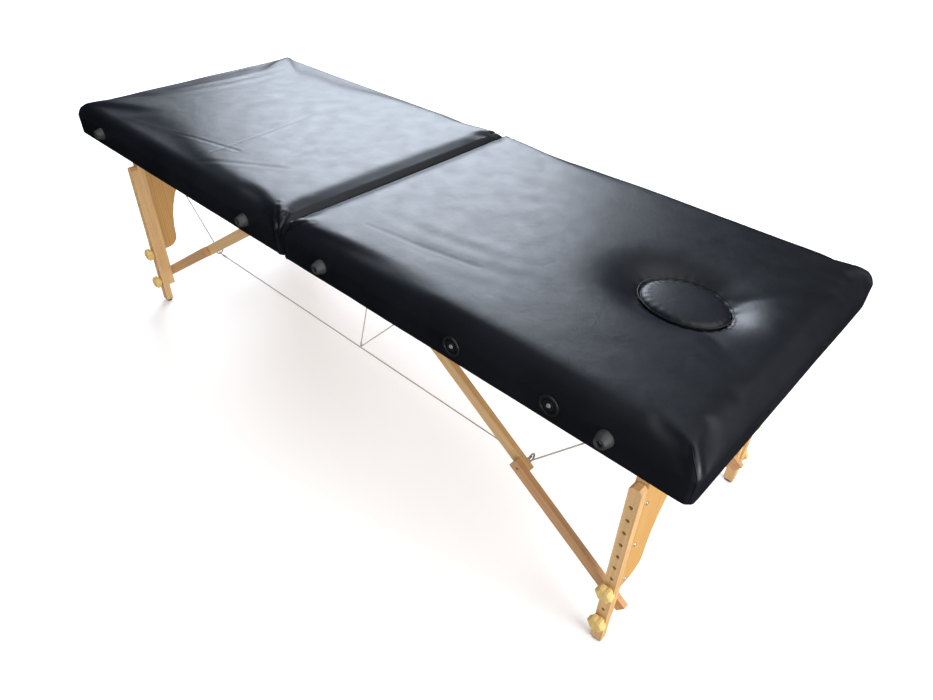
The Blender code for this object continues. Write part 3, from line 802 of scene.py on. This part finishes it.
def keep_off_fold(co, sign):
    """No point crosses the fold plane, and the hem stays at its height."""
    inside = sign * co[:, 0]
    co[:, 0] = sign * np.maximum(inside, FOLD_X)
    co[:, 2] = np.maximum(co[:, 2], HEM_Z)


def drop_fold_skirt(piece):
    """The wall at the fold ends higher, clear of the hinges."""
    co = points_of(piece)
    at_fold = (np.abs(co[:, 0]) < FOLD_X + 0.004) & (np.abs(co[:, 1]) < HALF_WIDTH - 0.03)
    co[:, 2] = np.where(at_fold, np.maximum(co[:, 2], FOLD_SKIRT_Z), co[:, 2])
    set_points(piece, co)


def thicken_edges(piece):
    modifier = piece.modifiers.new("skin", "SOLIDIFY")
    modifier.thickness = 0.0009
    modifier.offset = -1
    apply_modifiers(piece)


def build_plug():
    """The face-hole plug: a small domed cushion with a sewn edge that sits in the rim."""
    rings = 22
    spokes = 112
    a = HOLE_A - 0.0035
    b = HOLE_B - 0.0035
    top_z = PAD_TOP_Z - RIM_DROP + 0.0015
    verts = []
    faces = []
    profile = []
    for k in range(rings + 1):
        r = k / rings
        crown = 0.0050 * (1 - r ** 2.2)
        edge = 0.0060 * max(0.0, (r - 0.80) / 0.20) ** 3
        profile.append((r, top_z + crown - edge))
    profile += [(0.995, top_z - 0.012), (0.985, top_z - 0.020), (0.93, top_z - 0.0235), (0.5, top_z - 0.024)]
    for r, z in profile:
        for k in range(spokes):
            t = 2 * math.pi * k / spokes
            gather = 0.0005 * math.sin(28 * t + 1.5 * math.sin(2 * t)) * max(0.0, r - 0.72) / 0.28
            verts.append((FACE_X + a * r * math.cos(t), b * r * math.sin(t), z + gather))
    for i in range(len(profile) - 1):
        for k in range(spokes):
            j = (k + 1) % spokes
            faces.append((i * spokes + k, i * spokes + j,
                          (i + 1) * spokes + j, (i + 1) * spokes + k))
    last = (len(profile) - 1) * spokes
    faces.append(tuple(last + k for k in range(spokes)))
    piece = mesh_object("plug_pad", verts, faces)
    bm = bmesh.new()
    bm.from_mesh(piece.data)
    bmesh.ops.remove_doubles(bm, verts=bm.verts, dist=0.00005)
    bmesh.ops.recalc_face_normals(bm, faces=bm.faces)
    bm.to_mesh(piece.data)
    bm.free()
    return piece


def seam_ring(name, a, b, z, radius, material):
    """A piped seam round the plug or the rim."""
    path = []
    for k in range(120):
        t = 2 * math.pi * k / 120
        path.append(Vector((FACE_X + a * math.cos(t), b * math.sin(t), z)))
    piece = tube(name, path, radius, sides=8, closed=True)
    return paint(piece, material)


def build_pads(skin):
    for side, sign in HALVES:
        pad = paint(build_pad(side, sign), skin)
        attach(pad, f"{side}_half")
        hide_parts(f"{side}_cover", f"{side}_foam")
        build_seams(pad, side, sign, skin)
    plug = paint(build_plug(), skin)
    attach(plug, "face_plug")
    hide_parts("face_plug")
    z = PAD_TOP_Z - RIM_DROP
    welt = seam_ring("plug_welt", HOLE_A - 0.0046, HOLE_B - 0.0046, z - 0.0040, 0.0011, skin)
    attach(welt, "face_plug")
    rim = seam_ring("rim_welt", HOLE_A + 0.0008, HOLE_B + 0.0008, z + 0.0002, 0.0010, skin)
    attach(rim, "right_half")


# ---------------------------------------------------------------- hardware

def bumper(name, x, y_sign, rubber, metal, body):
    """A conical rubber bumper screwed to the side rail."""
    y = y_sign * (HALF_WIDTH - 0.002)
    profile = [(0.0145, 0.0), (0.0150, 0.002), (0.0147, 0.004), (0.0128, 0.011), (0.0112, 0.0165),
               (0.0098, 0.0188), (0.0080, 0.0194), (0.0058, 0.0190), (0.0052, 0.0178), (0.0050, 0.0120)]
    piece = lathe(name, profile, (x, y, BUMPER_Z), (0, y_sign, 0))
    paint(piece, rubber)
    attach(piece, body)
    screw_place = (x, y + y_sign * 0.0115, BUMPER_Z)
    screw_head(f"{name}_screw", screw_place, (0, y_sign, 0), SCREW_R, metal, body)


def screw_head(name, centre, axis, radius, metal, body):
    """A domed screw head with a round recess."""
    profile = [(radius, 0.0), (radius, radius * 0.12), (radius * 0.92, radius * 0.30),
               (radius * 0.70, radius * 0.46), (radius * 0.34, radius * 0.54),
               (radius * 0.26, radius * 0.30), (radius * 0.02, radius * 0.22)]
    piece = lathe(name, profile, centre, axis, 24)
    paint(piece, metal)
    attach(piece, body)
    return piece


def side_socket(name, x, y_sign, plastic, metal):
    """A round accessory socket let into the side of the right half."""
    y = y_sign * (HALF_WIDTH - 0.0025)
    profile = [(0.0195, 0.0), (0.0197, 0.0020), (0.0190, 0.0034), (0.0168, 0.0040), (0.0150, 0.0032),
               (0.0145, 0.0016), (0.0140, 0.0014), (0.0095, 0.0013), (0.0088, 0.0024), (0.0070, 0.0026),
               (0.0060, 0.0014)]
    piece = lathe(name, profile, (x, y, SIDE_SOCKET_Z), (0, y_sign, 0), 56)
    paint(piece, plastic)
    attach(piece, "right_half")
    nut_place = (x, y + y_sign * 0.0014, SIDE_SOCKET_Z)
    screw_head(f"{name}_nut", nut_place, (0, y_sign, 0), SCREW_R, metal, "right_half")


def cord_path(sign, y_sign):
    """From the leg rod, through the elbow's eye, to the middle of the table."""
    y = y_sign * CORD_Y
    rod = Vector((sign * (CABLE_HIGH.x - 0.0015), y_sign * 0.222, CABLE_HIGH.z - 0.001))
    eye = Vector((sign * (ELBOW_X - 0.004), y, EYE_Z))
    middle = Vector((0, y, EYE_Z - 0.0005))
    down = [rod.lerp(eye, k / 14) for k in range(14)]
    along = [eye.lerp(middle, k / 30) for k in range(31)]
    return down + along


def swage_radii(path, centres, half, big):
    """Cord radius with crimped ferrules at the given places."""
    out = []
    for p in path:
        near = min((Vector(p) - Vector(c)).length for c in centres)
        out.append(big if near < half else CORD_R)
    return out


def dense(path, step=0.004):
    out = []
    for a, b in zip(path, path[1:]):
        count = max(1, round((b - a).length / step))
        out += [a.lerp(b, k / count) for k in range(count)]
    return out + [path[-1]]


def build_cords(cord):
    for side, sign in HALVES:
        for place, y_sign in SIDES:
            path = dense(cord_path(sign, y_sign))
            eye = Vector((sign * (ELBOW_X - 0.004), y_sign * CORD_Y, EYE_Z))
            crimps = [eye + Vector((-sign * 0.020, 0, 0)), path[8]]
            radii = swage_radii(path, crimps, 0.0065, 0.0027)
            piece = tube(f"{side}_cord_{place}", path, radii)
            paint(piece, cord)
            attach(piece, f"{side}_half")
            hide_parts(f"cable_{place}")
            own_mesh(piece)
    for place, y_sign in SIDES:
        y = y_sign * CORD_Y
        knot = Vector((V_KNOT_X, y, EYE_Z + 0.0015))
        for end, x, z in (("a", BATTEN_LOW.x + 0.018, BATTEN_LOW.z + 0.001), ("b", *DECK_EYE)):
            top = Vector((x, y, z))
            path = dense([knot, top])
            crimps = [knot + (top - knot).normalized() * 0.012]
            radii = [r * 0.85 for r in swage_radii(path, crimps, 0.005, 0.0024)]
            piece = tube(f"v_cord_{place}_{end}", path, radii)
            paint(piece, cord)
            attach(piece, "right_half")
            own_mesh(piece)


def build_elbows(metal):
    """Elbow bolts with an eye for the cable, and their nuts inside the upper struts."""
    for side, sign in HALVES:
        for place, s in SIDES:
            body = f"{side}_upper_struts"
            x = sign * ELBOW_X
            start = Vector((x, s * (STRUT_INNER_Y - 0.002), ELBOW_Z))
            end = Vector((x, s * (CORD_Y + 0.004), ELBOW_Z))
            shank = tube(f"{side}_eye_shank_{place}", [start, start.lerp(end, 0.5), end], 0.0028)
            eye = ring(f"{side}_eye_{place}", (x - sign * 0.002, s * CORD_Y, ELBOW_Z - 0.0095),
                       (1, 0, 0), 0.0095, 0.0018)
            for piece in (shank, eye):
                paint(piece, metal)
                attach(piece, body)
            washer = [(0.0085, 0.0), (0.0085, 0.0010), (0.0050, 0.0012), (0.0050, 0.0035), (0.0020, 0.0042)]
            nut_place = (x, s * STRUT_INNER_Y, ELBOW_Z)
            nut = lathe(f"{side}_elbow_nut_{place}", washer, nut_place, (0, -s, 0), 24)
            paint(nut, metal)
            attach(nut, body)


def build_screws(metal):
    """Three screws down each side of the leg panels."""
    for side, sign in HALVES:
        for place, s in SIDES:
            for k, z in enumerate(PANEL_SCREW_Z):
                centre = (sign * PANEL_FACE_X, s * PANEL_SCREW_Y, z)
                screw_head(f"{side}_panel_screw_{place}_{k}", centre,
                           (sign, 0, 0), SCREW_R, metal, f"{side}_legs")


def build_hardware(rubber, plastic, metal):
    for side, sign in HALVES:
        for place, s in SIDES:
            for k, x in enumerate(BUMPER_X):
                bumper(f"{side}_bumper_{place}_{k}", sign * x, s, rubber, metal, f"{side}_half")
    for place, s in SIDES:
        for k, x in enumerate(SIDE_SOCKET_X):
            side_socket(f"side_socket_{place}_{k}", x, s, plastic, metal)


def rounded_outline(low, high):
    """A rectangle inside the leg's section, with rounded corners, on the floor."""
    corners = ((high.x, high.y, 0), (low.x, high.y, 1), (low.x, low.y, 2), (high.x, low.y, 3))
    middle = (low + high) / 2
    inset = SOLE_INSET + SOLE_CORNER_R
    outline = []
    for corner_x, corner_y, turn in corners:
        for k in range(4):
            a = math.pi / 2 * (turn + k / 3)
            x = corner_x + math.copysign(inset, middle.x - corner_x) + SOLE_CORNER_R * math.cos(a)
            y = corner_y + math.copysign(inset, middle.y - corner_y) + SOLE_CORNER_R * math.sin(a)
            outline.append((x, y, 0.0))
    return outline


def build_soles(rubber):
    """The thin rubber sole under each leg, in place of the CAD boot."""
    for side, sign in HALVES:
        for place, s in SIDES:
            low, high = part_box(f"{side}_outer_leg_{place}")
            sole = plate(f"{side}_sole_{place}", rounded_outline(low, high), low.z + SOLE_INSET)
            soften(sole, 0.0009)
            paint(sole, rubber)
            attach(sole, f"{side}_outer_leg_{place}")
            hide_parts(f"{side}_foot_{place}")


def on_surface(pad, points):
    """The nearest points of the pad's outer skin."""
    out = []
    for p in points:
        found, place, normal, _ = pad.closest_point_on_mesh(Vector(p))
        out.append(place + normal * 0.0002 if found else Vector(p))
    return out


def build_seams(pad, side, sign, skin):
    """Fine raised seams down the darts at the pad's corners and fold ends."""
    for place, s in SIDES:
        outer = [(sign * (PAD_END_X - 0.002), s * (HALF_WIDTH - 0.002), HEM_Z + 0.006 + 0.008 * k)
                 for k in range(6)]
        for k in range(1, 9):
            t = k / 8
            outer.append((sign * (PAD_END_X - 0.002 - 0.034 * t), s * (HALF_WIDTH - 0.002 - 0.020 * t),
                          HEM_Z + 0.046 + 0.040 * t ** 0.6))
        inner = []
        for k in range(10):
            t = k / 9
            inner.append((sign * (FOLD_X + 0.006 + 0.012 * t), s * (HALF_WIDTH - 0.001 - 0.040 * t ** 2),
                          HEM_Z + 0.040 + 0.047 * t ** 0.7))
        for kind, points in (("corner", outer), ("fold", inner)):
            path = smooth_path(on_surface(pad, points), 3)
            taper = [0.0009 * min(1.0, 0.25 + 3.0 * min(k, len(path) - 1 - k) / len(path))
                     for k in range(len(path))]
            seam = tube(f"{side}_{kind}_seam_{place}", path, taper, sides=8)
            paint(seam, skin)
            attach(seam, f"{side}_half")


# ---------------------------------------------------------------- carried-over nodes

def soften(node, width=0.0008):
    modifier = node.modifiers.new("worn_edges", "BEVEL")
    modifier.width = width
    modifier.segments = 2
    modifier.limit_method = "ANGLE"
    modifier.angle_limit = math.radians(40)
    modifier.harden_normals = False


def dress_nodes(metal, rubber, plastic, knob):
    beech = (0.60, 0.39, 0.185)
    reddish = (0.50, 0.285, 0.135)
    upright = wood("beech_upright", beech, (0, 0, 1))
    rail_x = wood("beech_rail_x", tinted(beech, 0.92), (1, 0, 0))
    rail_y = wood("beech_rail_y", tinted(beech, 0.92), (0, 1, 0))
    panel = plywood("ply_panel", (0.56, 0.32, 0.105))
    deck = plywood("ply_deck", (0.50, 0.33, 0.16))
    slope = math.sin(STRUT_ANGLE), math.cos(STRUT_ANGLE)
    for name, node in NODES.items():
        sign = -1 if name.startswith("left") else 1
        along = (slope[1], 0, -sign * slope[0])
        if "upper_strut" in name:
            material = strut_material("beech_strut", beech, along, sign)
        elif "lower_strut" in name:
            material = strut_material("beech_strut_red", reddish, along, sign)
        elif "panel" in name:
            material = panel
        elif "deck" in name:
            material = deck
        elif "leg_near" in name or "leg_far" in name:
            material = upright
        elif "rail_near" in name or "rail_far" in name:
            material = rail_x
        elif "rail" in name or "batten" in name:
            material = rail_y
        elif "knob" in name:
            material = knob
        elif "foot" in name:
            material = rubber
        elif "socket" in name:
            material = plastic
        elif "hinge" in name or "rod" in name:
            material = metal
        else:
            material = None
        if material is None:
            continue
        node.data.materials.clear()
        node.data.materials.append(material)
        if "leg" in name and "panel" not in name and "rod" not in name:
            soften(node, 0.0010)
        elif "strut" in name or "panel" in name:
            soften(node, 0.0007)


def strut_material(name, colour, along, sign):
    key = f"{name}_{'left' if sign < 0 else 'right'}"
    return bpy.data.materials.get(key) or wood(key, colour, along)


# ---------------------------------------------------------------- stage, lights and camera

def build_stage():
    size = 30.0
    floor = mesh_object("floor", [(-size, -size, -0.0005), (size, -size, -0.0005),
                                  (size, size, -0.0005), (-size, size, -0.0005)], [(0, 1, 2, 3)])
    s = Shader("pale_floor", (0.93, 0.93, 0.93), 0.9, specular=0.1)
    patch = s.noise(s.place(grey(0.8)), 2)
    s.colour(s.ramp(patch, [(0.3, grey(0.925)), (0.7, grey(0.94))]))
    floor.data.materials.append(s.material)
    floor.visible_glossy = False


def area_light(name, place, target, width, height, power, colour=(1, 1, 1)):
    data = bpy.data.lights.new(name, "AREA")
    data.shape = "RECTANGLE"
    data.size = width
    data.size_y = height
    data.energy = power
    data.color = colour
    light = bpy.data.objects.new(name, data)
    light.location = place
    light.rotation_euler = (Vector(target) - Vector(place)).to_track_quat("-Z", "Y").to_euler()
    light.visible_camera = False
    bpy.context.scene.collection.objects.link(light)


def build_lights():
    scene = bpy.context.scene
    world = bpy.data.worlds.new("studio")
    world.use_nodes = True
    world.node_tree.nodes["Background"].inputs["Color"].default_value = (0.95, 0.97, 1.0, 1)
    world.node_tree.nodes["Background"].inputs["Strength"].default_value = 0.70
    world.cycles_visibility.glossy = False
    scene.world = world
    sky = bpy.data.lights.new("sky", "SUN")
    sky.energy = 1.7
    sky.angle = math.radians(70)
    sky_light = bpy.data.objects.new("sky", sky)
    sky_light.rotation_euler = (math.radians(-4), math.radians(30), 0)
    scene.collection.objects.link(sky_light)
    area_light("window", (-2.95, 2.75, 2.62), (0.0, 0.0, 0.6), 3.0, 1.6, 225, (0.80, 0.88, 1.0))
    area_light("side_fill", (4.4, -0.3, 1.3), (0.4, -0.2, 0.2), 2.4, 2.0, 150, (1.0, 0.98, 0.95))
    scene.view_settings.view_transform = "Standard"
    scene.view_settings.look = "None"
    scene.view_settings.exposure = 0.0


def build_camera():
    """The camera solved from the table's own straight edges, in the row frame."""
    data = bpy.data.cameras.new("camera")
    data.sensor_width = 36.0
    data.lens = 26.83
    camera = bpy.data.objects.new("camera", data)
    right = Vector((0.73277, 0.67978, 0.03087))
    down = Vector((0.44033, -0.43908, -0.78315))
    forward = Vector((-0.51881, 0.58746, -0.62107))
    place = Matrix((right, -down, -forward)).transposed().to_4x4()
    place.translation = (1.1028, -1.01794, 1.28825)
    camera.matrix_world = place
    bpy.context.scene.collection.objects.link(camera)
    bpy.context.scene.camera = camera


build_camera()
build_stage()
build_lights()
skin = leather()
zinc = steel()
rubber = moulded("rubber_black", (0.030, 0.031, 0.034), 0.50, 0.0010)
plastic = moulded("plastic_black", (0.012, 0.012, 0.013), 0.38, 0.0006)
build_pads(skin)
build_cords(cord_material())
build_elbows(zinc)
build_screws(zinc)
build_hardware(rubber, plastic, zinc)
build_soles(rubber)
dress_nodes(zinc, rubber, plastic, knob_material())
